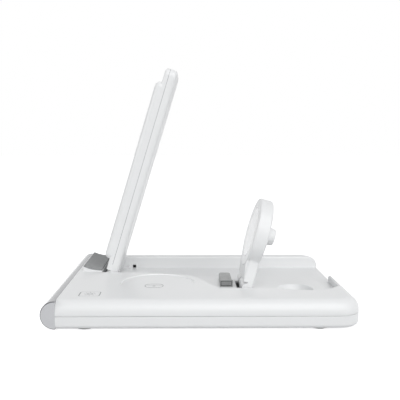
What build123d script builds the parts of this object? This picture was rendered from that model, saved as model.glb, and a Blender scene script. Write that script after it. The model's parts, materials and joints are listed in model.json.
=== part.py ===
"""Three in one wireless charger: a flat base with a folding phone panel and a folding watch stand.

Millimetres, +Z up. The origin is on the table under the middle of the base. +X runs from the light
bar to the cable end and +Y runs across the base, from the earbud dish to the phone panel.
The panel and the stand are drawn raised, as they stand in use.
"""
import os
from math import atan, cos, degrees, radians, sin, sqrt

from build123d import *

os.makedirs("parts", exist_ok=True)

# Base shells
base_length = 183.0
base_width = 140.0
foot_height = 0.8
deck_height = 17.0
seam_height = 8.0
corner_radius = 14.0
top_radius = 7.3
bottom_radius = 2.5
wall = 1.8
seam_bevel = 0.2
seam_gap = 0.45
seam_depth = 0.7
slack = 0.2

# Light bar across the left end
bar_depth = 8.6
bar_bevel = 0.5
strip_end_gap = 11.0
led_count = 10
led_size = 2.8
led_height = 1.0
strip_thickness = 1.0
strip_height = 7.0

# Channel for the folded phone panel
channel_margin = 14.0
channel_width = 51.5
channel_floor = 8.4
wire_hole_width = 2.6
wire_hole_height = 2.4
wire_hole_gap = 12.2

# Pocket and bowl for the folded watch stand
shelf_level = 12.2
shelf_wall = 1.6
pocket_margin = 3.4
pocket_stretch = 4.3
pocket_clearance = 0.7
pocket_near_gap = 0.8
pocket_lead = 18.9
pocket_edge = 1.3
bowl_radius = 12.0
bowl_floor = 4.5
bowl_wall = 1.5
bowl_edge = 1.5
scoop_start = 3.0
scoop_run = 18.5
scoop_floor = 9.6
slot_gap = 2.2
slot_width = 2.6
slot_length = 36.0

# Dish for an earbud case
dish_bracket_gap = 17.3
dish_channel_gap = 7.0
dish_radius = 23.0
dish_depth = 0.6
rim_gap = 3.2
rim_shift = 0.6
rim_side = 0.9
rim_turn = 17.1
rim_room = 10.0
rim_end = 1.6

# Ledge with a rubber pad for the foot of the phone
ledge_inset = 3.4
ledge_depth = 12.6
ledge_rise = 3.1
ledge_step = 0.4
ledge_sag = 0.7
ledge_margin = 1.5
pad_thickness = 1.2
pad_inset = 0.7

# Phone panel
panel_tilt = 17.0
pivot_inset = 5.54
panel_length = 146.8
panel_side_gap = 0.75
panel_half_thickness = 4.25
panel_seam = 0.95
panel_floor_gap = 0.35
panel_corner = 5.0
panel_edge = 2.4
panel_wall = 1.6
cushion_height = 3.9
cushion_start = 11.5
cushion_end_gap = 9.9
cushion_edge = 3.6

# Phone hinge
phone_pin_radius = 1.75
pin_slack = 0.04
pin_reach = 3.4
pin_boss_radius = 3.2
sleeve_wall = 0.9
sleeve_length = 9.0

# Watch stand
stand_tilt = 15.3
stand_channel_gap = 4.5
neck_half_width = 16.0
neck_half_thickness = 3.29
stand_floor_gap = 0.35
head_distance = 32.9
head_radius = 22.0
head_proud = 1.82
stand_seam = 0.6
stand_wall = 1.7
stand_edge = 1.4
foot_blend = 13.0
neck_blend = 4.0
knob_base = 6.5
knob_face = 5.0
knob_height = 6.8
puck_radius = 15.8
puck_thickness = 1.1
puck_web = 0.9

# Watch hinge
watch_pin_radius = 1.25
post_half_width = 5.0
post_radius = 2.9
notch_gap = 0.5
notch_top = 3.9

# Steel bracket beside the watch hinge
bracket_gap = 15.2
bracket_width = 7.5
bracket_offset = 3.5
bracket_length = 22.5
bracket_height = 4.3
bracket_sheet = 1.0
bracket_lip = 0.4
bracket_corner = 2.0
bracket_panel = 0.25

# Coils and shields
coil_thickness = 1.2
shield_thickness = 0.8
earbud_coil_outer = 18.0
earbud_coil_inner = 8.0
coil_side_gap = 1.8
phone_coil_inner = 9.0
phone_coil_low = 52.0
phone_coil_high = 94.0
watch_coil_outer = 13.0
watch_coil_inner = 6.0
magnet_radius = 3.0

# Boards and parts on them
board_rise = 0.4
board_thickness = 1.2
board_inset = 24.9
board_near_gap = 15.5
board_wide_length = 58.0
board_wide_depth = 46.5
board_strip_depth = 16.5
board_end_gap = 1.2
chip_size = 7.0
chip_height = 1.0
chip_inset = 14.0
chip_row = 12.0
chip_pitch = 15.0
inductor_size = 8.0
inductor_height = 3.5
inductor_corner = 1.2
inductor_inset = 16.0
inductor_row = 14.0
inductor_pitch = 20.0

# Cable inlet
socket_offset = 6.5
socket_width = 8.94
socket_height = 3.26
socket_depth = 7.3
socket_sheet = 0.3
socket_inset = 0.4
tongue_width = 6.7
tongue_thickness = 0.7
tongue_length = 5.6

# Touch key, feet and screws
key_inset = 17.4
key_offset = 16.5
key_radius = 3.3
key_thickness = 0.5
foot_end_gap = 24.4
foot_side_gap = 9.3
foot_radius = 6.5
foot_recess = 0.7
screw_radius = 1.3
screw_head_radius = 2.4
screw_head_height = 1.5
screw_reach = 11.0
screw_boss_radius = 3.2
tray_boss_radius = 4.6
tray_boss_top = 5.0

# Positions that follow from the sizes above
right_end = base_length / 2
left_end = -base_length / 2
bar_face = left_end + bar_depth
bar_radius = (deck_height - foot_height) / 2
bar_centre_x = left_end + bar_radius
bar_centre_z = foot_height + bar_radius
shell_length = right_end - bar_face
shell_middle = (right_end + bar_face) / 2
tray_floor = foot_height + wall
deck_under = deck_height - wall
ledge_left = bar_face + ledge_inset
ledge_right = ledge_left + ledge_depth
ledge_high = deck_height + ledge_rise
ledge_low = deck_height + ledge_step
ledge_middle = ((ledge_left + ledge_right) / 2, (ledge_high + ledge_low) / 2 - ledge_sag)
channel_far = base_width / 2 - channel_margin
channel_near = channel_far - channel_width
channel_middle = channel_near + channel_width / 2
channel_left = ledge_right + slack
channel_under = channel_floor - wall
panel_width = channel_width - 2 * panel_side_gap
phone_coil_outer = panel_width / 2 - 2 * panel_wall - coil_side_gap
panel_pivot_x = channel_left + pivot_inset
panel_pivot_z = channel_floor + panel_floor_gap + panel_half_thickness
pocket_radius = head_radius + pocket_clearance
pocket_right = right_end - pocket_margin
bowl_x = pocket_right - pocket_radius - pocket_stretch
bowl_centre_z = bowl_floor + bowl_radius
stand_pivot_x = bowl_x - head_distance
stand_pivot_z = shelf_level + stand_floor_gap + neck_half_thickness
stand_y = channel_near - stand_channel_gap - head_radius
pocket_near = stand_y - neck_half_width - pocket_near_gap
pocket_meet_x = bowl_x - sqrt(pocket_radius**2 - (stand_y - pocket_near) ** 2)
pocket_meet_turn = 180 + degrees(atan((stand_y - pocket_near) / (bowl_x - pocket_meet_x)))
bracket_left = stand_pivot_x - bracket_gap
bracket_near = stand_y + bracket_offset
dish_x = bracket_left - dish_bracket_gap - dish_radius
dish_y = channel_near - dish_channel_gap - dish_radius
pocket_start = dish_x - pocket_lead
rim_peak_x = dish_x + rim_shift
rim_peak_y = dish_y + dish_radius + rim_gap
rim_turn_x = dish_x + dish_radius + rim_side
rim_turn_y = dish_y + rim_turn
rim_fall_x = bracket_left - rim_room
rim_fall_y = stand_y + rim_side
rim_end_x = bracket_left - rim_end
scoop_left = bowl_x + scoop_start
scoop_right = scoop_left + scoop_run
board_bottom = tray_floor + board_rise
board_top = board_bottom + board_thickness
board_left = bar_face + board_inset
board_right = right_end - wall - board_end_gap
board_near = board_near_gap - base_width / 2
board_far = board_near + board_wide_depth
board_step_x = board_left + board_wide_length
board_strip_far = board_near + board_strip_depth
socket_y = board_near + socket_offset
key_x = bar_face + key_inset
key_y = key_offset - base_width / 2
foot_x = right_end - foot_end_gap
foot_y = base_width / 2 - foot_side_gap
socket_right = right_end - socket_inset
socket_z = board_top + socket_height / 2
foot_spots = [(x, y) for x in (-foot_x, foot_x) for y in (-foot_y, foot_y)]

# Planes of the two leaning pieces: local x runs up the piece, local z out of its front
panel_up = Vector(sin(radians(panel_tilt)), 0, cos(radians(panel_tilt)))
panel_out = Vector(-cos(radians(panel_tilt)), 0, sin(radians(panel_tilt)))
panel_pivot = Vector(panel_pivot_x, channel_middle, panel_pivot_z)
panel_plane = Plane(origin=panel_pivot, x_dir=panel_up, z_dir=panel_out)
panel_axle = Plane(origin=panel_pivot, x_dir=panel_up, z_dir=(0, 1, 0))
panel_front_axis = Axis(panel_pivot, panel_out)
panel_up_axis = Axis(panel_pivot, panel_up)
stand_up = Vector(sin(radians(stand_tilt)), 0, cos(radians(stand_tilt)))
stand_out = Vector(-cos(radians(stand_tilt)), 0, sin(radians(stand_tilt)))
stand_pivot = Vector(stand_pivot_x, stand_y, stand_pivot_z)
stand_plane = Plane(origin=stand_pivot, x_dir=stand_up, z_dir=stand_out)
stand_axle = Plane(origin=stand_pivot, x_dir=stand_up, z_dir=(0, 1, 0))
stand_front_axis = Axis(stand_pivot, stand_out)


# Bottom tray
with BuildPart() as bottom_tray:
    with BuildSketch(Plane.XY.offset(foot_height)) as tray_plan:
        with Locations((shell_middle, 0)):
            Rectangle(shell_length, base_width)
        fillet(tray_plan.vertices().group_by(Axis.X)[-1], corner_radius)
    extrude(amount=seam_height - foot_height)
    fillet(bottom_tray.faces().sort_by(Axis.Z)[0].edges().sort_by(Axis.X)[1:], bottom_radius)
    chamfer(bottom_tray.faces().sort_by(Axis.Z)[-1].edges().sort_by(Axis.X)[1:], seam_bevel)
    with BuildSketch(Plane.XY.offset(tray_floor)) as tray_room:
        with Locations((shell_middle, 0)):
            Rectangle(shell_length - 2 * wall, base_width - 2 * wall)
        fillet(tray_room.vertices().group_by(Axis.X)[-1], corner_radius - wall)
    extrude(amount=seam_height, mode=Mode.SUBTRACT)
    with BuildSketch(Plane.XY.offset(tray_floor - 0.2)):
        with Locations(*foot_spots):
            Circle(tray_boss_radius)
    extrude(amount=tray_boss_top - tray_floor + 0.2)
    with BuildSketch(Plane.XY.offset(tray_floor - 0.2)):
        with Locations((board_left + 4, board_near + 4), (board_left + 4, board_far - 4)):
            Circle(2.2)
        with Locations((board_step_x - 4, board_far - 4), (board_right - 14, board_near + 4)):
            Circle(2.2)
    extrude(amount=board_rise + 0.2)
    with BuildSketch(Plane.XY.offset(foot_height)):
        with Locations(*foot_spots):
            Circle(foot_radius + 0.1)
    extrude(amount=foot_recess, mode=Mode.SUBTRACT)
    with BuildSketch(Plane.XY.offset(foot_height)):
        with Locations(*foot_spots):
            Circle(screw_head_radius + 0.2)
    extrude(amount=foot_recess + screw_head_height + 0.2, mode=Mode.SUBTRACT)
    with BuildSketch(Plane.XY.offset(foot_height)):
        with Locations(*foot_spots):
            Circle(screw_radius + 0.2)
    extrude(amount=tray_boss_top, mode=Mode.SUBTRACT)
    with BuildSketch(Plane.YZ.offset(right_end - wall - 1)):
        with Locations((channel_middle, channel_under + wall)):
            Rectangle(channel_width + 2 * wall + 2 * slack, 2 * wall)
    extrude(amount=wall + 2, mode=Mode.SUBTRACT)
    with BuildSketch(Plane.YZ.offset(right_end - wall - 1)):
        with Locations((socket_y, socket_z)):
            RectangleRounded(socket_width + 2 * slack, socket_height + 2 * slack, socket_height / 2)
    extrude(amount=wall + 2, mode=Mode.SUBTRACT)
bottom_tray.part.label = "bottom_tray"
export_step(bottom_tray.part, "parts/bottom_tray.step")

# Room inside the top cover, left clear of the channel, the pocket and the bowl
with BuildPart() as cover_room:
    with BuildSketch(Plane.XY.offset(seam_height - 1)) as room_plan:
        with Locations((shell_middle, 0)):
            Rectangle(shell_length - 2 * wall, base_width - 2 * wall)
        fillet(room_plan.vertices().group_by(Axis.X)[-1], corner_radius - wall)
    extrude(amount=deck_under - seam_height + 1)
    fillet(cover_room.faces().sort_by(Axis.Z)[-1].edges().sort_by(Axis.X)[1:], top_radius - wall)
    with BuildSketch(Plane.XY.offset(channel_under)):
        with Locations(((channel_left - wall + right_end + wall) / 2, channel_middle)):
            Rectangle(right_end - channel_left + 2 * wall, channel_width + 2 * wall)
    extrude(amount=deck_height, mode=Mode.SUBTRACT)
    with BuildSketch(Plane.XY.offset(shelf_level - shelf_wall)):
        with BuildLine():
            Polyline(
                (pocket_start - 2 * shelf_wall, channel_middle),
                (pocket_start - 2 * shelf_wall, channel_near - 2 * shelf_wall),
                (rim_peak_x, rim_peak_y - 2 * shelf_wall),
                (rim_turn_x - 2 * shelf_wall, rim_turn_y - shelf_wall),
                (rim_fall_x - 2 * shelf_wall, rim_fall_y - shelf_wall / 2),
                (rim_end_x - 2 * shelf_wall, pocket_near - shelf_wall),
                (bowl_x, pocket_near - shelf_wall),
                (pocket_right + shelf_wall, stand_y),
                (pocket_right + shelf_wall, channel_middle),
                close=True,
            )
        make_face()
        with Locations((bowl_x, stand_y)):
            Circle(pocket_radius + shelf_wall)
    extrude(amount=deck_height, mode=Mode.SUBTRACT)
    with Locations((bowl_x, stand_y, bowl_centre_z)):
        Sphere(bowl_radius + bowl_wall, mode=Mode.SUBTRACT)
    with BuildSketch(Plane.XY.offset(scoop_floor - shelf_wall)):
        with Locations(((scoop_left + right_end) / 2, (stand_y - pocket_radius + channel_middle) / 2)):
            Rectangle(right_end - scoop_left, channel_middle - stand_y + pocket_radius + 2 * shelf_wall)
    extrude(amount=deck_height, mode=Mode.SUBTRACT)
    with BuildSketch(Plane.XY.offset(seam_height - 1)):
        with Locations(*foot_spots):
            Circle(screw_boss_radius)
    extrude(amount=deck_height, mode=Mode.SUBTRACT)
    with BuildSketch(Plane.XZ.offset(-channel_near)):
        with Locations((panel_pivot_x, panel_pivot_z)):
            Circle(pin_boss_radius)
    extrude(amount=wall + pin_reach, mode=Mode.SUBTRACT)
    with BuildSketch(Plane.XZ.offset(-channel_far)):
        with Locations((panel_pivot_x, panel_pivot_z)):
            Circle(pin_boss_radius)
    extrude(amount=-wall - pin_reach, mode=Mode.SUBTRACT)

# Dome under the bowl
with BuildPart() as bowl_dome:
    with Locations((bowl_x, stand_y, bowl_centre_z)):
        Sphere(bowl_radius + bowl_wall)
    with Locations((bowl_x, stand_y, shelf_level - shelf_wall / 2 - bowl_radius / 2)):
        Box(3 * bowl_radius, 3 * bowl_radius, bowl_radius, mode=Mode.INTERSECT)

# Pocket of the watch stand: a level shelf that rolls off towards the right end, for a fingertip
with BuildPart() as stand_pocket:
    with BuildSketch(Plane.XY.offset(scoop_floor)):
        with BuildLine():
            low_edge = Spline(
                (pocket_start, channel_near),
                (rim_peak_x, rim_peak_y),
                (rim_turn_x, rim_turn_y),
                (rim_fall_x, rim_fall_y),
                (rim_end_x, pocket_near),
                tangents=((1, 0), (0.45, -0.9)),
            )
            near_edge = Line(low_edge @ 1, (pocket_meet_x, pocket_near))
            head_edge = CenterArc((bowl_x, stand_y), pocket_radius, pocket_meet_turn, 270 - pocket_meet_turn)
            reach_edge = Line(head_edge @ 1, (bowl_x + pocket_stretch, stand_y - pocket_radius))
            round_edge = CenterArc((bowl_x + pocket_stretch, stand_y), pocket_radius, 270, 90)
            right_edge = Line(round_edge @ 1, (pocket_right, channel_middle))
            back_edge = Line(right_edge @ 1, (pocket_start, channel_middle))
            Line(back_edge @ 1, low_edge @ 0)
        make_face()
    extrude(amount=deck_height)
    with BuildSketch(Plane.XZ.offset(-channel_middle)):
        with BuildLine():
            roll = TangentArc((scoop_left, shelf_level), (scoop_right, scoop_floor), tangent=(1, 0))
            under = Line(roll @ 1, (pocket_start - wall, scoop_floor))
            side = Line(under @ 1, (pocket_start - wall, shelf_level))
            Line(side @ 1, roll @ 0)
        make_face()
    extrude(amount=channel_middle - stand_y + 2 * pocket_radius, mode=Mode.SUBTRACT)

# Bowl in the shelf for the knob of the folded stand, with a soft rim
rim_drop = bowl_centre_z - shelf_level + bowl_edge
flare_x = sqrt((bowl_radius + bowl_edge) ** 2 - rim_drop**2)
with BuildPart() as knob_bowl:
    with BuildSketch(Plane(origin=(bowl_x, stand_y, 0), x_dir=(1, 0, 0), z_dir=(0, -1, 0))):
        with BuildLine():
            bowl_side = CenterArc((0, bowl_centre_z), bowl_radius, 270, degrees(atan(flare_x / rim_drop)))
            bowl_flare = TangentArc(bowl_side @ 1, (flare_x, shelf_level), tangent=bowl_side % 1)
            bowl_lid = Line(bowl_flare @ 1, (0, shelf_level))
            Line(bowl_lid @ 1, bowl_side @ 0)
        make_face()
    revolve(axis=Axis((bowl_x, stand_y, 0), (0, 0, 1)))

# Shadow gap that the cover leaves all round the seam
with BuildPart() as seam_groove:
    with BuildSketch(Plane.XY.offset(seam_height)):
        with Locations((shell_middle, 0)):
            Rectangle(shell_length + 2 * seam_depth, base_width + 2 * seam_depth)
    extrude(amount=seam_gap)
    with BuildSketch(Plane.XY.offset(seam_height)) as lip_plan:
        with Locations((shell_middle - seam_depth, 0)):
            Rectangle(shell_length, base_width - 2 * seam_depth)
        fillet(lip_plan.vertices().group_by(Axis.X)[-1], corner_radius - seam_depth)
    extrude(amount=seam_gap, mode=Mode.SUBTRACT)

# Top cover
with BuildPart() as top_cover:
    with BuildSketch(Plane.XY.offset(seam_height)) as cover_plan:
        with Locations((shell_middle, 0)):
            Rectangle(shell_length, base_width)
        fillet(cover_plan.vertices().group_by(Axis.X)[-1], corner_radius)
    extrude(amount=deck_height - seam_height)
    fillet(top_cover.faces().sort_by(Axis.Z)[-1].edges().sort_by(Axis.X)[1:], top_radius)
    with BuildSketch(Plane.XY.offset(channel_floor)):
        with Locations(((channel_left + right_end + 5) / 2, channel_middle)):
            Rectangle(right_end + 5 - channel_left, channel_width)
    extrude(amount=deck_height, mode=Mode.SUBTRACT)
    add(stand_pocket.part, mode=Mode.SUBTRACT)
    deck_edges = top_cover.edges().filter_by_position(Axis.Z, deck_height - 0.01, deck_height + 0.01)
    rim_edges = deck_edges.filter_by_position(Axis.X, channel_left + slack, right_end - top_radius - slack)
    rim_edges = rim_edges.filter_by_position(Axis.Y, stand_y - pocket_radius - 1, channel_far + 0.1)
    fillet(rim_edges, pocket_edge)
    with BuildSketch(Plane.XZ.offset(-channel_near - ledge_margin)):
        with BuildLine():
            Polyline(
                (ledge_left, ledge_high),
                (ledge_left, deck_under),
                (ledge_right, deck_under),
                (ledge_right, ledge_low),
            )
            ThreePointArc((ledge_right, ledge_low), ledge_middle, (ledge_left, ledge_high))
        make_face()
    extrude(amount=-(channel_width - 2 * ledge_margin))
    add(cover_room.part, mode=Mode.SUBTRACT)
    with BuildSketch(Plane.XY.offset(channel_under)):
        with Locations(((channel_left - wall + right_end) / 2, channel_middle)):
            Rectangle(right_end - channel_left + wall, channel_width + 2 * wall)
        with Locations((shell_middle, 0)):
            Rectangle(shell_length, base_width - 2 * corner_radius + 2 * wall, mode=Mode.INTERSECT)
    extrude(amount=seam_height - channel_under + 0.2)
    add(bowl_dome.part)
    with BuildSketch(Plane.XY.offset(tray_boss_top)):
        with Locations(*foot_spots):
            Circle(screw_boss_radius)
    extrude(amount=deck_under - tray_boss_top - 3)
    add(knob_bowl.part, mode=Mode.SUBTRACT)
    slot_x = stand_pivot_x - slot_gap - slot_width / 2
    slot_y = stand_y - neck_half_width + slot_length / 2
    with BuildSketch(Plane.XY.offset(shelf_level - 2 * shelf_wall)):
        with Locations((slot_x, slot_y)):
            Rectangle(slot_width, slot_length)
    extrude(amount=deck_height, mode=Mode.SUBTRACT)
    with BuildSketch(Plane.XZ.offset(-channel_far - 2 * wall)):
        with Locations((panel_pivot_x + wire_hole_gap, channel_floor + wire_hole_height / 2)):
            Rectangle(wire_hole_width, wire_hole_height)
    extrude(amount=4 * wall, mode=Mode.SUBTRACT)
    with BuildSketch(Plane.XY.offset(deck_height - dish_depth)):
        with Locations((dish_x, dish_y)):
            Circle(dish_radius)
    extrude(amount=deck_height, taper=-35, mode=Mode.SUBTRACT)
    with BuildSketch(Plane.XZ.offset(-stand_y - post_half_width)):
        with Locations((stand_pivot_x, stand_pivot_z)):
            Circle(post_radius)
        with Locations((stand_pivot_x, (stand_pivot_z + shelf_level - 0.5) / 2)):
            Rectangle(2 * post_radius, stand_pivot_z - shelf_level + 0.5)
    extrude(amount=2 * post_half_width)
    with BuildSketch(Plane.XZ.offset(-stand_y - neck_half_width)):
        with Locations((stand_pivot_x, stand_pivot_z)):
            Circle(watch_pin_radius + pin_slack)
    extrude(amount=2 * neck_half_width, mode=Mode.SUBTRACT)
    with BuildSketch(Plane.XZ.offset(-channel_far - wall - pin_reach + 1.4)):
        with Locations((panel_pivot_x, panel_pivot_z)):
            Circle(phone_pin_radius + pin_slack)
    extrude(amount=channel_width + 2 * wall + 2 * pin_reach - 2.8, mode=Mode.SUBTRACT)
    with BuildSketch(Plane.XY.offset(tray_boss_top - 1)):
        with Locations(*foot_spots):
            Circle(screw_radius + 0.02)
    extrude(amount=screw_reach - 2.2, mode=Mode.SUBTRACT)
    add(seam_groove.part, mode=Mode.SUBTRACT)
top_cover.part.label = "top_cover"
export_step(top_cover.part, "parts/top_cover.step")

# Light bar: a solid round-nosed light guide with a slot for the lamp strip
strip_length = base_width - 2 * strip_end_gap
with BuildPart() as light_bar:
    with BuildSketch(Plane.XZ):
        with BuildLine():
            bar_top = Line((bar_face, deck_height), (bar_centre_x, deck_height))
            bar_nose = ThreePointArc(bar_top @ 1, (left_end, bar_centre_z), (bar_centre_x, foot_height))
            bar_low = Line(bar_nose @ 1, (bar_face, foot_height))
            Line(bar_low @ 1, bar_top @ 0)
        make_face()
    extrude(amount=base_width / 2, both=True)
    chamfer(light_bar.faces().filter_by(Axis.Y).edges().filter_by(GeomType.CIRCLE), bar_bevel)
    with BuildSketch(Plane.YZ.offset(bar_face)):
        with Locations((0, bar_centre_z)):
            Rectangle(strip_length + 2 * slack, strip_height + 2 * slack)
    extrude(amount=-strip_thickness - led_height - slack, mode=Mode.SUBTRACT)
light_bar.part.label = "light_bar"
export_step(light_bar.part, "parts/light_bar.step")

# Lamp strip behind the bar
led_step = strip_length / led_count
led_rows = [(led_step * (i + 0.5) - strip_length / 2, bar_centre_z) for i in range(led_count)]
with BuildPart() as led_board:
    with BuildSketch(Plane.YZ.offset(bar_face - strip_thickness)):
        with Locations((0, bar_centre_z)):
            Rectangle(strip_length, strip_height)
    extrude(amount=strip_thickness)
led_board.part.label = "led_board"
export_step(led_board.part, "parts/led_board.step")

with BuildPart() as led_row:
    with BuildSketch(Plane.YZ.offset(bar_face - strip_thickness - led_height)):
        with Locations(*led_rows):
            Rectangle(led_size, led_size)
    extrude(amount=led_height)
led_row.part.label = "led_row"
export_step(led_row.part, "parts/led_row.step")

# Feet and screws
with BuildPart() as rubber_feet:
    with BuildSketch(Plane.XY):
        with Locations(*foot_spots):
            Circle(foot_radius)
    extrude(amount=foot_height + foot_recess)
    chamfer(rubber_feet.edges().group_by(Axis.Z)[0], 0.3)
rubber_feet.part.label = "rubber_feet"
export_step(rubber_feet.part, "parts/rubber_feet.step")

screw_seat = foot_height + foot_recess + screw_head_height + 0.2
with BuildPart() as case_screws:
    with BuildSketch(Plane.XY.offset(screw_seat - screw_head_height)):
        with Locations(*foot_spots):
            Circle(screw_head_radius)
    extrude(amount=screw_head_height)
    with BuildSketch(Plane.XY.offset(screw_seat)):
        with Locations(*foot_spots):
            Circle(screw_radius)
    extrude(amount=screw_reach - screw_head_height - 2)
    with BuildSketch(Plane.XY.offset(screw_seat - screw_head_height)):
        with Locations(*foot_spots):
            Rectangle(2.6, 0.7)
            Rectangle(0.7, 2.6)
    extrude(amount=0.8, mode=Mode.SUBTRACT)
case_screws.part.label = "case_screws"
export_step(case_screws.part, "parts/case_screws.step")

# Main board with its chips and inductors
with BuildPart() as main_board:
    with BuildSketch(Plane.XY.offset(board_bottom)):
        with BuildLine():
            Polyline(
                (board_left, board_near),
                (board_right, board_near),
                (board_right, board_strip_far),
                (board_step_x, board_strip_far),
                (board_step_x, board_far),
                (board_left, board_far),
                close=True,
            )
        make_face()
    extrude(amount=board_thickness)
main_board.part.label = "main_board"
export_step(main_board.part, "parts/main_board.step")

with BuildPart() as control_chips:
    with BuildSketch(Plane.XY.offset(board_top)):
        for i in range(3):
            with Locations((board_left + chip_inset + chip_pitch * i, board_near + chip_row)):
                Rectangle(chip_size, chip_size)
    extrude(amount=chip_height)
control_chips.part.label = "control_chips"
export_step(control_chips.part, "parts/control_chips.step")

with BuildPart() as power_inductors:
    with BuildSketch(Plane.XY.offset(board_top)):
        first_x = board_left + inductor_inset
        row_y = board_far - inductor_row
        with Locations((first_x, row_y), (first_x + inductor_pitch, row_y)):
            RectangleRounded(inductor_size, inductor_size, inductor_corner)
    extrude(amount=inductor_height)
power_inductors.part.label = "power_inductors"
export_step(power_inductors.part, "parts/power_inductors.step")

# Cable inlet
with BuildPart() as usb_c_socket:
    with BuildSketch(Plane.YZ.offset(socket_right)):
        with Locations((socket_y, socket_z)):
            SlotOverall(socket_width, socket_height)
    extrude(amount=-socket_depth)
    with BuildSketch(Plane.YZ.offset(socket_right)):
        with Locations((socket_y, socket_z)):
            SlotOverall(socket_width - 2 * socket_sheet, socket_height - 2 * socket_sheet)
    extrude(amount=socket_sheet - socket_depth, mode=Mode.SUBTRACT)
usb_c_socket.part.label = "usb_c_socket"
export_step(usb_c_socket.part, "parts/usb_c_socket.step")

with BuildPart() as socket_tongue:
    with BuildSketch(Plane.YZ.offset(socket_right - socket_depth + socket_sheet)):
        with Locations((socket_y, socket_z)):
            Rectangle(tongue_width, tongue_thickness)
    extrude(amount=tongue_length)
socket_tongue.part.label = "socket_tongue"
export_step(socket_tongue.part, "parts/socket_tongue.step")

# Earbud coil, its shield and the touch electrode, all under the deck
with BuildPart() as earbud_coil:
    with BuildSketch(Plane.XY.offset(deck_under - coil_thickness)):
        with Locations((dish_x, dish_y)):
            Circle(earbud_coil_outer)
            Circle(earbud_coil_inner, mode=Mode.SUBTRACT)
    extrude(amount=coil_thickness)
earbud_coil.part.label = "earbud_coil"
export_step(earbud_coil.part, "parts/earbud_coil.step")

with BuildPart() as earbud_ferrite:
    with BuildSketch(Plane.XY.offset(deck_under - coil_thickness - shield_thickness)):
        with Locations((dish_x, dish_y)):
            Circle(earbud_coil_outer + 1)
    extrude(amount=shield_thickness)
earbud_ferrite.part.label = "earbud_ferrite"
export_step(earbud_ferrite.part, "parts/earbud_ferrite.step")

with BuildPart() as touch_electrode:
    with BuildSketch(Plane.XY.offset(deck_under - key_thickness)):
        with Locations((key_x, key_y)):
            Circle(key_radius)
    extrude(amount=key_thickness)
touch_electrode.part.label = "touch_electrode"
export_step(touch_electrode.part, "parts/touch_electrode.step")

# Rubber pad on the ledge
with BuildPart() as phone_rest_pad:
    with BuildSketch(Plane.XZ.offset(-channel_near - ledge_margin - pad_inset)):
        with BuildLine():
            pad_under = ThreePointArc((ledge_left, ledge_high), ledge_middle, (ledge_right, ledge_low))
            pad_right = Line(pad_under @ 1, (ledge_right, ledge_low + pad_thickness))
            pad_top = ThreePointArc(
                pad_right @ 1,
                (ledge_middle[0], ledge_middle[1] + pad_thickness),
                (ledge_left, ledge_high + pad_thickness),
            )
            Line(pad_top @ 1, pad_under @ 0)
        make_face()
    extrude(amount=-(channel_width - 2 * ledge_margin - 2 * pad_inset))
    fillet(phone_rest_pad.edges().group_by(Axis.Z)[-1], 0.5)
phone_rest_pad.part.label = "phone_rest_pad"
export_step(phone_rest_pad.part, "parts/phone_rest_pad.step")

# Steel bracket on the shelf: a folded cover with a wider front plate
bracket_middle = bracket_left + bracket_width / 2
with BuildPart() as steel_bracket:
    with BuildSketch(Plane.XY.offset(shelf_level)) as bracket_plan:
        with Locations((bracket_middle, bracket_near + bracket_length / 2)):
            Rectangle(bracket_width, bracket_length)
        fillet(bracket_plan.vertices().group_by(Axis.Y)[-1], bracket_corner)
    extrude(amount=bracket_height)
    fillet(steel_bracket.faces().sort_by(Axis.Z)[-1].edges().sort_by(Axis.Y)[1:], bracket_sheet / 2)
    with BuildSketch(Plane.XZ.offset(-bracket_near)):
        with Locations((bracket_middle, shelf_level + bracket_height / 2)):
            Rectangle(bracket_width + 2 * bracket_lip, bracket_height)
    extrude(amount=-bracket_sheet)
    with BuildSketch(Plane.XZ.offset(-bracket_near)):
        with Locations((bracket_middle, shelf_level + bracket_height / 2)):
            RectangleRounded(bracket_width - bracket_lip, bracket_height - 3 * bracket_lip, bracket_lip)
    extrude(amount=-bracket_panel, mode=Mode.SUBTRACT)
    with BuildSketch(Plane.XY.offset(shelf_level)):
        with Locations((bracket_middle, bracket_near + bracket_length / 2)):
            RectangleRounded(
                bracket_width - 2 * bracket_sheet,
                bracket_length - 2 * bracket_sheet,
                bracket_corner - bracket_sheet,
            )
    extrude(amount=bracket_height - bracket_sheet, mode=Mode.SUBTRACT)
steel_bracket.part.label = "steel_bracket"
export_step(steel_bracket.part, "parts/steel_bracket.step")

# Phone hinge pin and friction sleeves
with BuildPart() as phone_hinge_pin:
    with BuildSketch(panel_axle):
        Circle(phone_pin_radius)
    extrude(amount=channel_width / 2 + wall + pin_reach - 1.6, both=True)
phone_hinge_pin.part.label = "phone_hinge_pin"
export_step(phone_hinge_pin.part, "parts/phone_hinge_pin.step")

sleeve_outer = phone_pin_radius + pin_slack + sleeve_wall
with BuildPart() as phone_hinge_sleeves:
    with BuildSketch(panel_axle.offset(panel_width / 2 - sleeve_length)):
        Circle(sleeve_outer)
        Circle(phone_pin_radius + pin_slack, mode=Mode.SUBTRACT)
    extrude(amount=sleeve_length)
    with BuildSketch(panel_axle.offset(-panel_width / 2)):
        Circle(sleeve_outer)
        Circle(phone_pin_radius + pin_slack, mode=Mode.SUBTRACT)
    extrude(amount=sleeve_length)
phone_hinge_sleeves.part.label = "phone_hinge_sleeves"
export_step(phone_hinge_sleeves.part, "parts/phone_hinge_sleeves.step")

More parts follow.
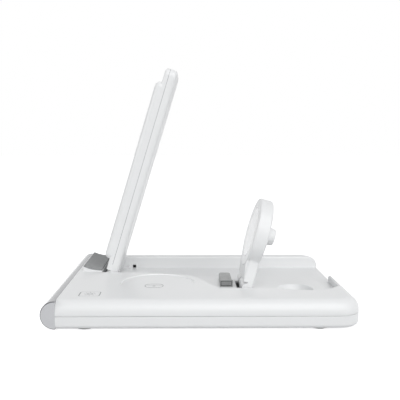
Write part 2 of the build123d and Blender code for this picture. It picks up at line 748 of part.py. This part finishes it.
# Rear shell of the phone panel, with the hinge barrel
rear_room_start = panel_half_thickness + panel_wall + 1
with BuildPart() as phone_rear_shell:
    with BuildSketch(panel_plane.offset(-panel_half_thickness)) as rear_plan:
        with Locations((panel_length / 2, 0)):
            Rectangle(panel_length, panel_width)
        fillet(rear_plan.vertices().group_by(Axis.X)[-1], panel_corner)
    extrude(amount=panel_half_thickness + panel_seam)
    rear_back = phone_rear_shell.faces().sort_by(panel_front_axis)[0]
    fillet(rear_back.edges().sort_by(panel_up_axis)[1:], panel_edge)
    with BuildSketch(panel_axle):
        Circle(panel_half_thickness)
    extrude(amount=panel_width / 2, both=True)
    with BuildSketch(panel_plane.offset(panel_wall - panel_half_thickness)):
        with Locations(((rear_room_start + panel_length - panel_wall) / 2, 0)):
            RectangleRounded(
                panel_length - panel_wall - rear_room_start,
                panel_width - 2 * panel_wall,
                panel_corner - panel_wall,
            )
    extrude(amount=panel_half_thickness + panel_seam, mode=Mode.SUBTRACT)
    with BuildSketch(panel_axle):
        Circle(phone_pin_radius + 2 * pin_slack)
    extrude(amount=panel_width / 2 + 1, both=True, mode=Mode.SUBTRACT)
    with BuildSketch(panel_axle.offset(panel_width / 2 - sleeve_length)):
        Circle(sleeve_outer)
    extrude(amount=sleeve_length + 1, mode=Mode.SUBTRACT)
    with BuildSketch(panel_axle.offset(-panel_width / 2 - 1)):
        Circle(sleeve_outer)
    extrude(amount=sleeve_length + 1, mode=Mode.SUBTRACT)
phone_rear_shell.part.label = "phone_rear_shell"
export_step(phone_rear_shell.part, "parts/phone_rear_shell.step")

# Front shell of the phone panel, with the raised charging face
front_start = panel_half_thickness + 0.4
cushion_top = panel_length - cushion_end_gap
cushion_face = panel_half_thickness + cushion_height
with BuildPart() as phone_front_shell:
    with BuildSketch(panel_plane.offset(panel_seam)) as front_plan:
        with Locations(((front_start + panel_length) / 2, 0)):
            Rectangle(panel_length - front_start, panel_width)
        fillet(front_plan.vertices().group_by(Axis.X)[-1], panel_corner)
    extrude(amount=panel_half_thickness - panel_seam)
    front_face = phone_front_shell.faces().sort_by(panel_front_axis)[-1]
    fillet(front_face.edges().sort_by(panel_up_axis)[1:], panel_edge - 0.6)
    with BuildSketch(panel_plane.offset(panel_seam)):
        with Locations(((cushion_start + cushion_top) / 2, 0)):
            RectangleRounded(cushion_top - cushion_start, panel_width, panel_corner - 1)
    extrude(amount=cushion_face - panel_seam)
    cushion = phone_front_shell.faces().sort_by(panel_front_axis)[-1]
    fillet(cushion.edges(), cushion_edge)
    with BuildSketch(panel_plane.offset(panel_seam)):
        with Locations(((cushion_start + cushion_top) / 2, 0)):
            RectangleRounded(
                cushion_top - cushion_start - 4 * panel_wall,
                panel_width - 4 * panel_wall,
                panel_corner - panel_wall,
            )
    extrude(amount=cushion_face - panel_seam - panel_wall, mode=Mode.SUBTRACT)
phone_front_shell.part.label = "phone_front_shell"
export_step(phone_front_shell.part, "parts/phone_front_shell.step")

# Phone coils and their shield
coil_face = cushion_face - panel_wall
with BuildPart() as phone_coils:
    with BuildSketch(panel_plane.offset(coil_face - coil_thickness)):
        with Locations((phone_coil_low, 0), (phone_coil_high, 0)):
            Circle(phone_coil_outer)
            Circle(phone_coil_inner, mode=Mode.SUBTRACT)
    extrude(amount=coil_thickness)
phone_coils.part.label = "phone_coils"
export_step(phone_coils.part, "parts/phone_coils.step")

with BuildPart() as phone_ferrite:
    with BuildSketch(panel_plane.offset(coil_face - coil_thickness - shield_thickness)):
        with Locations(((phone_coil_low + phone_coil_high) / 2, 0)):
            RectangleRounded(phone_coil_high - phone_coil_low + 2 * phone_coil_outer, 2 * phone_coil_outer, 3)
    extrude(amount=shield_thickness)
phone_ferrite.part.label = "phone_ferrite"
export_step(phone_ferrite.part, "parts/phone_ferrite.step")

# Back shell of the watch stand, with the hinge ears and the knob
head_face = neck_half_thickness + head_proud
with BuildPart() as watch_back_shell:
    with BuildSketch(stand_plane.offset(-neck_half_thickness)) as back_plan:
        with Locations((head_distance / 2, 0)):
            Rectangle(head_distance, 2 * neck_half_width)
        with Locations((head_distance, 0)):
            Circle(head_radius)
        fillet(back_plan.vertices().group_by(Axis.X)[1], neck_blend)
    extrude(amount=neck_half_thickness + stand_seam)
    stand_back = watch_back_shell.faces().sort_by(stand_front_axis)[0]
    fillet(stand_back.edges().sort_by(Axis.Z)[1:], stand_edge)
    with BuildSketch(stand_axle):
        Circle(neck_half_thickness)
    extrude(amount=neck_half_width, both=True)
    with BuildSketch(stand_plane.offset(-neck_half_thickness)):
        with Locations((head_distance, 0)):
            Circle(knob_base)
    knob_lean = degrees(atan((knob_base - knob_face) / knob_height))
    extrude(amount=-knob_height, taper=knob_lean)
    fillet(watch_back_shell.faces().sort_by(stand_front_axis)[0].edges(), 0.8)
    with BuildSketch(stand_plane.offset(stand_wall - neck_half_thickness)):
        with Locations((head_distance, 0)):
            Circle(head_radius - stand_wall - 0.3)
    extrude(amount=neck_half_thickness + stand_seam, mode=Mode.SUBTRACT)
    with BuildSketch(stand_plane):
        with Locations((head_distance, 0)):
            Circle(magnet_radius + 0.1)
    extrude(amount=stand_wall - neck_half_thickness - knob_height, mode=Mode.SUBTRACT)
    with BuildSketch(stand_plane):
        with Locations(((notch_top - 6) / 2, 0)):
            Rectangle(notch_top + 6, 2 * post_half_width + 2 * notch_gap)
    extrude(amount=3 * neck_half_thickness, both=True, mode=Mode.SUBTRACT)
    with BuildSketch(stand_axle):
        Circle(watch_pin_radius + 0.02)
    extrude(amount=neck_half_width - 0.8, both=True, mode=Mode.SUBTRACT)
watch_back_shell.part.label = "watch_back_shell"
export_step(watch_back_shell.part, "parts/watch_back_shell.step")

# Front shell of the watch stand, with a proud round head
with BuildPart() as watch_front_shell:
    with BuildSketch(stand_plane.offset(stand_seam)) as front_neck:
        with Locations(((notch_top + head_distance) / 2, 0)):
            Rectangle(head_distance - notch_top, 2 * neck_half_width)
        with Locations((head_distance, 0)):
            Circle(head_radius)
        fillet(front_neck.vertices().group_by(Axis.X)[1], neck_blend)
    extrude(amount=neck_half_thickness - stand_seam)
    with BuildSketch(stand_plane.offset(stand_seam)):
        with Locations((head_distance, 0)):
            Circle(head_radius)
    extrude(amount=head_face - stand_seam)
    fillet(watch_front_shell.faces().sort_by(stand_front_axis)[-1].edges(), 1.0)
    with BuildSketch(stand_axle):
        with BuildLine():
            Polyline(
                (notch_top, -stand_seam),
                (notch_top, -neck_half_thickness),
                (foot_blend, -head_face + head_proud / 4),
                (head_distance - head_radius / 2, -head_face + head_proud / 4),
                (head_distance - head_radius / 2, -stand_seam),
                close=True,
            )
        make_face()
    extrude(amount=neck_half_width - stand_edge / 2, both=True)
    with BuildSketch(stand_plane.offset(head_face)):
        with Locations((head_distance, 0)):
            Circle(puck_radius + 0.1)
    extrude(amount=-puck_thickness, mode=Mode.SUBTRACT)
    with BuildSketch(stand_plane.offset(stand_seam)):
        with Locations((head_distance, 0)):
            Circle(head_radius - stand_wall - 0.3)
    extrude(amount=head_face - puck_thickness - puck_web - stand_seam, mode=Mode.SUBTRACT)
watch_front_shell.part.label = "watch_front_shell"
export_step(watch_front_shell.part, "parts/watch_front_shell.step")

# Puck, coil, shield, magnet and pin of the watch stand
with BuildPart() as watch_puck:
    with BuildSketch(stand_plane.offset(head_face - puck_thickness)):
        with Locations((head_distance, 0)):
            Circle(puck_radius)
    extrude(amount=puck_thickness)
watch_puck.part.label = "watch_puck"
export_step(watch_puck.part, "parts/watch_puck.step")

watch_coil_top = head_face - puck_thickness - puck_web
with BuildPart() as watch_coil:
    with BuildSketch(stand_plane.offset(watch_coil_top - coil_thickness)):
        with Locations((head_distance, 0)):
            Circle(watch_coil_outer)
            Circle(watch_coil_inner, mode=Mode.SUBTRACT)
    extrude(amount=coil_thickness)
watch_coil.part.label = "watch_coil"
export_step(watch_coil.part, "parts/watch_coil.step")

with BuildPart() as watch_ferrite:
    with BuildSketch(stand_plane.offset(watch_coil_top - coil_thickness - shield_thickness)):
        with Locations((head_distance, 0)):
            Circle(watch_coil_outer + 1)
    extrude(amount=shield_thickness)
watch_ferrite.part.label = "watch_ferrite"
export_step(watch_ferrite.part, "parts/watch_ferrite.step")

with BuildPart() as watch_magnet:
    with BuildSketch(stand_plane.offset(stand_wall - neck_half_thickness - knob_height)):
        with Locations((head_distance, 0)):
            Circle(magnet_radius)
    extrude(amount=knob_height)
watch_magnet.part.label = "watch_magnet"
export_step(watch_magnet.part, "parts/watch_magnet.step")

with BuildPart() as watch_hinge_pin:
    with BuildSketch(stand_axle):
        Circle(watch_pin_radius)
    extrude(amount=neck_half_width - 1, both=True)
watch_hinge_pin.part.label = "watch_hinge_pin"
export_step(watch_hinge_pin.part, "parts/watch_hinge_pin.step")
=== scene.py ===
"""Looks of the three in one wireless charger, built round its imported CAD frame."""
import json
import math

import bmesh
import bpy
from mathutils import Matrix, Vector


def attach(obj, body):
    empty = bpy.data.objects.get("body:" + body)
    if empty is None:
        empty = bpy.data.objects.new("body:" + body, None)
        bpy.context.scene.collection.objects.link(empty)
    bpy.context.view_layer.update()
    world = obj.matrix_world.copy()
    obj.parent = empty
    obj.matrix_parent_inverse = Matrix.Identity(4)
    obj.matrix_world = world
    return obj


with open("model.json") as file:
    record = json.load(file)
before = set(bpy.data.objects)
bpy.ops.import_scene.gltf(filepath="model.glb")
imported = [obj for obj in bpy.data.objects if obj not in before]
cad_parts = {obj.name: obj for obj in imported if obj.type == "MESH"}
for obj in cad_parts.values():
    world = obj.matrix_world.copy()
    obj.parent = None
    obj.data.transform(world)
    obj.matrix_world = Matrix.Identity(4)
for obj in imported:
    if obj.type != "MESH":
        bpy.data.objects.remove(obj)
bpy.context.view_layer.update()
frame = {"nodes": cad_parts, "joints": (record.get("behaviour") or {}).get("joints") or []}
scene = bpy.context.scene
scene.view_settings.view_transform = "Standard"

MM = 0.001


# Node helpers

TONE_SPAN = (0.35, 0.65)
GRAIN_DETAIL = 4.0
FINE_GRAIN = 0.00003
COARSE_GRAIN = 0.00008


def new_material(name):
    """An empty node material with its shader and output joined."""
    material = bpy.data.materials.new(name)
    material.use_nodes = True
    tree = material.node_tree
    tree.nodes.clear()
    output = tree.nodes.new("ShaderNodeOutputMaterial")
    shader = tree.nodes.new("ShaderNodeBsdfPrincipled")
    tree.links.new(shader.outputs["BSDF"], output.inputs["Surface"])
    return material, tree, shader


def mixed_colour(tree, shader, low, high, scale, detail=3.0):
    """Colour that drifts between two tones over the surface. Returns the node that gives the place."""
    place = tree.nodes.new("ShaderNodeTexCoord")
    noise = tree.nodes.new("ShaderNodeTexNoise")
    noise.inputs["Scale"].default_value = scale
    noise.inputs["Detail"].default_value = detail
    ramp = tree.nodes.new("ShaderNodeValToRGB")
    for stop, position, colour in zip(ramp.color_ramp.elements, TONE_SPAN, (low, high)):
        stop.position = position
        stop.color = (*colour, 1)
    tree.links.new(place.outputs["Object"], noise.inputs["Vector"])
    tree.links.new(noise.outputs["Fac"], ramp.inputs["Fac"])
    tree.links.new(ramp.outputs["Color"], shader.inputs["Base Color"])
    return place


def grained(tree, shader, place, scale, strength, distance, stretch=None):
    """Fine surface grain as bump."""
    noise = tree.nodes.new("ShaderNodeTexNoise")
    noise.inputs["Scale"].default_value = scale
    noise.inputs["Detail"].default_value = GRAIN_DETAIL
    bump = tree.nodes.new("ShaderNodeBump")
    bump.inputs["Strength"].default_value = strength
    bump.inputs["Distance"].default_value = distance
    source = place.outputs["Object"]
    if stretch:
        mapping = tree.nodes.new("ShaderNodeMapping")
        mapping.inputs["Scale"].default_value = stretch
        tree.links.new(source, mapping.inputs["Vector"])
        source = mapping.outputs["Vector"]
    tree.links.new(source, noise.inputs["Vector"])
    tree.links.new(noise.outputs["Fac"], bump.inputs["Height"])
    tree.links.new(bump.outputs["Normal"], shader.inputs["Normal"])


def uneven_gloss(tree, shader, place, low, high, scale):
    """Roughness that drifts a little, as on handled plastic."""
    noise = tree.nodes.new("ShaderNodeTexNoise")
    noise.inputs["Scale"].default_value = scale
    spread = tree.nodes.new("ShaderNodeMapRange")
    spread.inputs["To Min"].default_value = low
    spread.inputs["To Max"].default_value = high
    tree.links.new(place.outputs["Object"], noise.inputs["Vector"])
    tree.links.new(noise.outputs["Fac"], spread.inputs["Value"])
    tree.links.new(spread.outputs["Result"], shader.inputs["Roughness"])


def seen_rays(tree):
    """Output that is 1 for rays from the camera, a reflection or a clear piece, and 0 for all others."""
    rays = tree.nodes.new("ShaderNodeLightPath")
    found = rays.outputs["Is Camera Ray"]
    for kind in ("Is Glossy Ray", "Is Transmission Ray"):
        either = tree.nodes.new("ShaderNodeMath")
        either.operation = "MAXIMUM"
        tree.links.new(found, either.inputs[0])
        tree.links.new(rays.outputs[kind], either.inputs[1])
        found = either.outputs["Value"]
    return found


# Materials

# Tones of the clear bar. The side grey is the moulding's own smoky tint. The dark bevel tone is painted
# shade, and the pale end tone is painted light.
BAR_SIDE = (0.44, 0.445, 0.46, 1)
BAR_BEVEL_PAINTED_SHADE = (0.16, 0.16, 0.17, 1)
BAR_END_PAINTED_LIGHT = (0.72, 0.725, 0.745, 1)
BAR_SIDE_UP_TO = 0.45
BAR_PAINTED_SHADE_SPAN = (0.6, 0.82)
BAR_PAINTED_LIGHT_FROM = 0.97


def plastic(name, low, high, rough_low, rough_high):
    """Moulded plastic with a faint drift of tone and a very fine grain."""
    material, tree, shader = new_material(name)
    place = mixed_colour(tree, shader, low, high, scale=9.0, detail=0.0)
    uneven_gloss(tree, shader, place, rough_low, rough_high, scale=60.0)
    grained(tree, shader, place, scale=3800.0, strength=0.02, distance=FINE_GRAIN)
    return material


def metal(name, low, high, rough_low, rough_high, stretch):
    """Bare metal whose grain is stretched along its finish."""
    material, tree, shader = new_material(name)
    shader.inputs["Metallic"].default_value = 1.0
    place = mixed_colour(tree, shader, low, high, scale=300.0)
    uneven_gloss(tree, shader, place, rough_low, rough_high, scale=500.0)
    grained(tree, shader, place, scale=900.0, strength=0.12, distance=FINE_GRAIN, stretch=stretch)
    return material


def rubber(name, low, high):
    """Matt rubber with a coarse grain and a little sheen."""
    material, tree, shader = new_material(name)
    place = mixed_colour(tree, shader, low, high, scale=420.0)
    uneven_gloss(tree, shader, place, low=0.62, high=0.8, scale=300.0)
    grained(tree, shader, place, scale=2600.0, strength=0.35, distance=COARSE_GRAIN)
    shader.inputs["Sheen Weight"].default_value = 0.12
    return material


def clear_bar_painted_light():
    """Smoky clear moulding, grey along its length, with painted light making its cut ends pale and
    painted shade making the bevel between them dark.
    """
    material, tree, shader = new_material("bar_grey")
    place = tree.nodes.new("ShaderNodeTexCoord")
    facing = tree.nodes.new("ShaderNodeSeparateXYZ")
    along = tree.nodes.new("ShaderNodeMath")
    along.operation = "ABSOLUTE"
    tone = tree.nodes.new("ShaderNodeValToRGB")
    stops = tone.color_ramp.elements
    stops[0].position = BAR_SIDE_UP_TO
    stops[0].color = BAR_SIDE
    stops[1].position = BAR_PAINTED_LIGHT_FROM
    stops[1].color = BAR_END_PAINTED_LIGHT
    for position in BAR_PAINTED_SHADE_SPAN:
        stops.new(position).color = BAR_BEVEL_PAINTED_SHADE
    # The tone follows which way the surface faces: painted shade on the bevels and painted light on the
    # cut ends.
    tree.links.new(place.outputs["Normal"], facing.inputs["Vector"])
    tree.links.new(facing.outputs["Y"], along.inputs[0])
    tree.links.new(along.outputs["Value"], tone.inputs["Fac"])
    tree.links.new(tone.outputs["Color"], shader.inputs["Base Color"])
    grained(tree, shader, place, scale=1400.0, strength=0.03, distance=FINE_GRAIN)
    shader.inputs["Roughness"].default_value = 0.12
    shader.inputs["IOR"].default_value = 1.49
    shader.inputs["Transmission Weight"].default_value = 0.2
    return material


shell_white = plastic("shell_white", (0.805, 0.811, 0.814), (0.812, 0.818, 0.821), 0.27, 0.31)
panel_white = plastic("panel_white", (0.805, 0.81, 0.813), (0.812, 0.817, 0.82), 0.31, 0.36)
puck_white = plastic("puck_white", (0.81, 0.815, 0.82), (0.82, 0.825, 0.83), 0.18, 0.22)
bar_grey = clear_bar_painted_light()
pad_rubber = rubber("pad_rubber", (0.255, 0.26, 0.262), (0.295, 0.30, 0.302))
foot_rubber = rubber("foot_rubber", (0.035, 0.035, 0.037), (0.05, 0.05, 0.052))
steel = metal("steel", (0.33, 0.335, 0.335), (0.39, 0.395, 0.395), 0.48, 0.58, stretch=(1, 12, 1))
print_grey = plastic("print_grey", (0.36, 0.365, 0.37), (0.40, 0.405, 0.41), 0.45, 0.55)
board_green = plastic("board_green", (0.02, 0.10, 0.045), (0.03, 0.13, 0.06), 0.35, 0.45)
chip_black = plastic("chip_black", (0.02, 0.02, 0.021), (0.03, 0.03, 0.031), 0.45, 0.6)
ferrite_black = plastic("ferrite_black", (0.035, 0.035, 0.037), (0.055, 0.055, 0.058), 0.6, 0.75)
copper = metal("copper", (0.55, 0.25, 0.12), (0.64, 0.31, 0.16), 0.25, 0.35, stretch=(1, 1, 1))
lamp = plastic("lamp", (0.80, 0.74, 0.50), (0.86, 0.80, 0.56), 0.2, 0.3)

NODE_LOOKS = {
    "bottom_tray": shell_white,
    "top_cover": shell_white,
    "light_bar": bar_grey,
    "led_board": puck_white,
    "led_row": lamp,
    "rubber_feet": foot_rubber,
    "case_screws": steel,
    "main_board": board_green,
    "control_chips": chip_black,
    "power_inductors": ferrite_black,
    "usb_c_socket": steel,
    "socket_tongue": chip_black,
    "earbud_coil": copper,
    "earbud_ferrite": ferrite_black,
    "touch_electrode": copper,
    "phone_rest_pad": pad_rubber,
    "steel_bracket": steel,
    "phone_hinge_pin": steel,
    "phone_hinge_sleeves": steel,
    "phone_front_shell": panel_white,
    "phone_rear_shell": panel_white,
    "phone_coils": copper,
    "phone_ferrite": ferrite_black,
    "watch_front_shell": panel_white,
    "watch_back_shell": panel_white,
    "watch_puck": puck_white,
    "watch_coil": copper,
    "watch_ferrite": ferrite_black,
    "watch_magnet": steel,
    "watch_hinge_pin": steel,
}
for node_name, look in NODE_LOOKS.items():
    mesh = frame["nodes"][node_name].data
    mesh.materials.clear()
    mesh.materials.append(look)


# Helpers for the thin added pieces, drawn in millimetres

def round_corners(width, depth, radius, steps=6):
    """Outline of a rounded rectangle about the origin, counter-clockwise."""
    points = []
    centres = [
        (width / 2 - radius, depth / 2 - radius, 0),
        (radius - width / 2, depth / 2 - radius, 90),
        (radius - width / 2, radius - depth / 2, 180),
        (width / 2 - radius, radius - depth / 2, 270),
    ]
    for x, y, start in centres:
        for i in range(steps + 1):
            turn = math.radians(start + 90 * i / steps)
            points.append((x + radius * math.cos(turn), y + radius * math.sin(turn)))
    return points


def circle(radius, steps=48):
    """Outline of a circle about the origin, counter-clockwise."""
    return [
        (radius * math.cos(2 * math.pi * i / steps), radius * math.sin(2 * math.pi * i / steps))
        for i in range(steps)
    ]


def turned(outline, degrees, shift=(0, 0)):
    """An outline moved by the shift and then turned about the origin."""
    turn = math.radians(degrees)
    return [
        (
            (x + shift[0]) * math.cos(turn) - (y + shift[1]) * math.sin(turn),
            (x + shift[0]) * math.sin(turn) + (y + shift[1]) * math.cos(turn),
        )
        for x, y in outline
    ]


def add_ring(mesh, outer, inner, place, low, high):
    """A closed flat ring between two outlines of equal length."""
    count = len(outer)
    rows = []
    for outline, level in ((outer, low), (outer, high), (inner, high), (inner, low)):
        rows.append([mesh.verts.new((place[0] + x, place[1] + y, level)) for x, y in outline])
    for i in range(count):
        j = (i + 1) % count
        for k in range(4):
            a, b = rows[k], rows[(k + 1) % 4]
            mesh.faces.new((a[i], a[j], b[j], b[i]))


def add_plate(mesh, outline, place, low, high):
    """A closed flat plate with the given outline."""
    bottom = [mesh.verts.new((place[0] + x, place[1] + y, low)) for x, y in outline]
    top = [mesh.verts.new((place[0] + x, place[1] + y, high)) for x, y in outline]
    mesh.faces.new(top)
    mesh.faces.new(list(reversed(bottom)))
    for i in range(len(outline)):
        j = (i + 1) % len(outline)
        mesh.faces.new((bottom[i], bottom[j], top[j], top[i]))


def finish_piece(name, mesh, material, body):
    """Makes an object of a mesh drawn in millimetres, and sets it on its body."""
    bmesh.ops.recalc_face_normals(mesh, faces=mesh.faces)
    bmesh.ops.scale(mesh, vec=(MM, MM, MM), verts=mesh.verts)
    data = bpy.data.meshes.new(name)
    mesh.to_mesh(data)
    mesh.free()
    data.materials.append(material)
    piece = bpy.data.objects.new(name, data)
    scene.collection.objects.link(piece)
    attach(piece, body)


def node_span(name, axis):
    """Lowest and highest place of a CAD node along one axis, in millimetres."""
    places = [corner[axis] / MM for corner in frame["nodes"][name].bound_box]
    return min(places), max(places)


# Printed key on the deck: a frame round a small lamp with its rays

KEY = (-65.7, -53.5)
KEY_LEVELS = (16.995, 17.02)
KEY_OUTSIDE = (12.6, 9.6, 1.5)
KEY_INSIDE = (11.2, 9.2, 1.2)
LAMP_OUTSIDE = 1.7
LAMP_INSIDE = 1.2
RAY_COUNT = 8
RAY_SIZE = (1.1, 0.45, 0.2)
RAY_REACH = 2.9
FEW_STEPS = 3
key_print = bmesh.new()
add_ring(key_print, round_corners(*KEY_OUTSIDE), round_corners(*KEY_INSIDE), KEY, *KEY_LEVELS)
add_ring(key_print, circle(LAMP_OUTSIDE), circle(LAMP_INSIDE), KEY, *KEY_LEVELS)
for spoke in range(RAY_COUNT):
    ray = turned(round_corners(*RAY_SIZE, FEW_STEPS), 360 / RAY_COUNT * spoke, (RAY_REACH, 0))
    add_plate(key_print, ray, KEY, *KEY_LEVELS)
finish_piece("key_print", key_print, print_grey, "base")


# Printed case in the dish: its outline, the line of its lid and a small ring

DISH = (-29.2, -32.0)
DISH_LEVELS = (16.395, 16.42)
CASE_OUTSIDE = (11.6, 9.4, 3.8)
CASE_INSIDE = (10.8, 8.0, 3.3)
LID_LINE = (10.0, 0.6, 0.2)
LID_RISE = 1.4
DOT_OUTSIDE = 0.9
DOT_INSIDE = 0.4
DOT_DROP = 0.9
dish_print = bmesh.new()
add_ring(dish_print, round_corners(*CASE_OUTSIDE), round_corners(*CASE_INSIDE), DISH, *DISH_LEVELS)
add_plate(dish_print, round_corners(*LID_LINE, FEW_STEPS), (DISH[0], DISH[1] + LID_RISE), *DISH_LEVELS)
add_ring(dish_print, circle(DOT_OUTSIDE), circle(DOT_INSIDE), (DISH[0], DISH[1] - DOT_DROP), *DISH_LEVELS)
finish_piece("dish_print", dish_print, print_grey, "base")


# Painted shade: a dark ring round the recess in the bracket's front plate, for the shade in the gap at
# its edge

RECESS_WIDTH = 7.1
RECESS_HEIGHT = 3.1
RECESS_DEPTH = 0.25
RECESS_CORNER = 0.4
RECESS_SHADE_WIDTH = 0.3
RECESS_LEVELS = (0.0, 0.03)
bracket_left, bracket_right = node_span("steel_bracket", 0)
bracket_front = node_span("steel_bracket", 1)[0]
bracket_low, bracket_high = node_span("steel_bracket", 2)
recess_middle = (
    (bracket_left + bracket_right) / 2,
    bracket_front + RECESS_DEPTH,
    (bracket_low + bracket_high) / 2,
)
# The ring is painted shade: black plastic laid where the edge of the recess lies only in shade.
recess_shade_ring = bmesh.new()
add_ring(
    recess_shade_ring,
    round_corners(RECESS_WIDTH, RECESS_HEIGHT, RECESS_CORNER),
    round_corners(RECESS_WIDTH - 2 * RECESS_SHADE_WIDTH, RECESS_HEIGHT - 2 * RECESS_SHADE_WIDTH, RECESS_CORNER / 2),
    (0, 0),
    *RECESS_LEVELS,
)
recess_place = Matrix.Translation(recess_middle) @ Matrix.Rotation(math.radians(90), 4, "X")
bmesh.ops.transform(recess_shade_ring, matrix=recess_place, verts=recess_shade_ring.verts)
finish_piece("recess_shade_ring", recess_shade_ring, chip_black, "base")


# Parting line between the two halves of the phone panel.
# It is drawn in the panel's own axes: x up the panel, z out of its front.

PANEL_TILT = 17.0
PANEL_LENGTH = 146.8
PANEL_CORNER = 5.0
LINE_START = 9.0
LINE_LEVEL = 0.95
LINE_WIDTH = 0.28
LINE_PROUD = 0.015
LINE_SUNK = 0.2


def panel_outline(half_width, steps=8):
    """Points up the near edge, over the top and down the far edge, each with its outward direction."""
    outline = [((LINE_START, -half_width), (0, -1))]
    for side, first in ((-1, -90), (1, 0)):
        centre = (PANEL_LENGTH - PANEL_CORNER, side * (half_width - PANEL_CORNER))
        for i in range(steps + 1):
            turn = math.radians(first + 90 * i / steps)
            out = (math.cos(turn), math.sin(turn))
            outline.append(((centre[0] + PANEL_CORNER * out[0], centre[1] + PANEL_CORNER * out[1]), out))
    outline.append(((LINE_START, half_width), (0, 1)))
    return outline


def add_band(mesh, outline):
    """A closed thin band that follows the outline, let into the surface."""
    corners = [
        (LINE_PROUD, LINE_LEVEL - LINE_WIDTH / 2),
        (LINE_PROUD, LINE_LEVEL + LINE_WIDTH / 2),
        (-LINE_SUNK, LINE_LEVEL + LINE_WIDTH / 2),
        (-LINE_SUNK, LINE_LEVEL - LINE_WIDTH / 2),
    ]
    sections = [
        [mesh.verts.new((x + shift * out_x, y + shift * out_y, level)) for shift, level in corners]
        for (x, y), (out_x, out_y) in outline
    ]
    for a, b in zip(sections, sections[1:]):
        for k in range(4):
            mesh.faces.new((a[k], a[(k + 1) % 4], b[(k + 1) % 4], b[k]))
    mesh.faces.new(sections[0])
    mesh.faces.new(list(reversed(sections[-1])))


panel_near, panel_far = node_span("phone_rear_shell", 1)
phone_hinge = next(joint for joint in frame["joints"] if joint["name"] == "phone_fold")
panel_pivot = Vector(phone_hinge["pos_m"]) / MM
panel_lean = Matrix.Rotation(math.radians(PANEL_TILT - 90), 4, "Y")
panel_place = Matrix.Translation(panel_pivot) @ panel_lean
parting_line = bmesh.new()
add_band(parting_line, panel_outline((panel_far - panel_near) / 2))
bmesh.ops.transform(parting_line, matrix=panel_place, verts=parting_line.verts)
finish_piece("parting_line", parting_line, print_grey, "phone_panel")


# Camera, from the fit to the photograph

camera_data = bpy.data.cameras.new("camera")
camera_data.lens = 54.0
camera_data.sensor_width = 36.0
camera_data.shift_x = 0.0205
camera_data.clip_start = 0.01
camera = bpy.data.objects.new("camera", camera_data)
camera.location = (-0.00923, -0.39834, 0.10858)
camera.rotation_euler = (math.radians(84.0), 0, math.radians(-0.55))
scene.collection.objects.link(camera)
scene.camera = camera


# Studio: white surroundings, soft lamps and a pale floor

WHITE = (1, 1, 1, 1)
SKY_COLOUR = (0.97, 0.985, 1.0, 1)
SKY_STRENGTH = 0.40
FLOOR_REACH = 3.0
FLOOR_COLOUR = (0.50, 0.505, 0.51, 1)
FLOOR_ROUGHNESS = 0.7
FLOOR_GLOW = 0.84


def background(tree, colour, strength):
    """An even background of one colour."""
    shader = tree.nodes.new("ShaderNodeBackground")
    shader.inputs["Color"].default_value = colour
    shader.inputs["Strength"].default_value = strength
    return shader.outputs["Background"]


def make_world():
    """Soft even light, which shows as plain white to the camera and in reflections."""
    world = bpy.data.worlds.new("studio")
    scene.world = world
    world.use_nodes = True
    tree = world.node_tree
    tree.nodes.clear()
    output = tree.nodes.new("ShaderNodeOutputWorld")
    mix = tree.nodes.new("ShaderNodeMixShader")
    tree.links.new(seen_rays(tree), mix.inputs["Fac"])
    tree.links.new(background(tree, SKY_COLOUR, SKY_STRENGTH), mix.inputs[1])
    tree.links.new(background(tree, WHITE, 1.0), mix.inputs[2])
    tree.links.new(mix.outputs["Shader"], output.inputs["Surface"])


def soft_lamp(name, place, aim, size, power):
    """A round area lamp that points at its aim."""
    data = bpy.data.lights.new(name, "AREA")
    data.shape = "DISK"
    data.size = size
    data.energy = power
    lamp_object = bpy.data.objects.new(name, data)
    lamp_object.location = place
    heading = Vector(aim) - Vector(place)
    lamp_object.rotation_euler = heading.to_track_quat("-Z", "Y").to_euler()
    scene.collection.objects.link(lamp_object)


def make_floor():
    """A pale floor that keeps the object's shadow and glows to white for the camera."""
    mesh = bpy.data.meshes.new("floor")
    corners = [
        (-FLOOR_REACH, -FLOOR_REACH, 0),
        (FLOOR_REACH, -FLOOR_REACH, 0),
        (FLOOR_REACH, FLOOR_REACH, 0),
        (-FLOOR_REACH, FLOOR_REACH, 0),
    ]
    mesh.from_pydata(corners, [], [(0, 1, 2, 3)])
    floor = bpy.data.objects.new("floor", mesh)
    scene.collection.objects.link(floor)
    material, tree, shader = new_material("floor_white")
    shader.inputs["Base Color"].default_value = FLOOR_COLOUR
    shader.inputs["Roughness"].default_value = FLOOR_ROUGHNESS
    glow = tree.nodes.new("ShaderNodeEmission")
    glow.inputs["Color"].default_value = WHITE
    share = tree.nodes.new("ShaderNodeMath")
    share.operation = "MULTIPLY"
    share.inputs[1].default_value = FLOOR_GLOW
    total = tree.nodes.new("ShaderNodeAddShader")
    output = tree.nodes["Material Output"]
    tree.links.new(seen_rays(tree), share.inputs[0])
    tree.links.new(share.outputs["Value"], glow.inputs["Strength"])
    tree.links.new(shader.outputs["BSDF"], total.inputs[0])
    tree.links.new(glow.outputs["Emission"], total.inputs[1])
    tree.links.new(total.outputs["Shader"], output.inputs["Surface"])
    mesh.materials.append(material)


make_world()
soft_lamp("key", place=(0.40, -0.90, 0.85), aim=(0, 0, 0.03), size=1.4, power=10.2)
soft_lamp("left_fill", place=(-1.00, -0.45, 0.45), aim=(0, 0, 0.03), size=0.6, power=3.0)
soft_lamp("low_right_fill", place=(0.95, -0.60, 0.10), aim=(0, 0, 0.05), size=0.7, power=1.5)
make_floor()
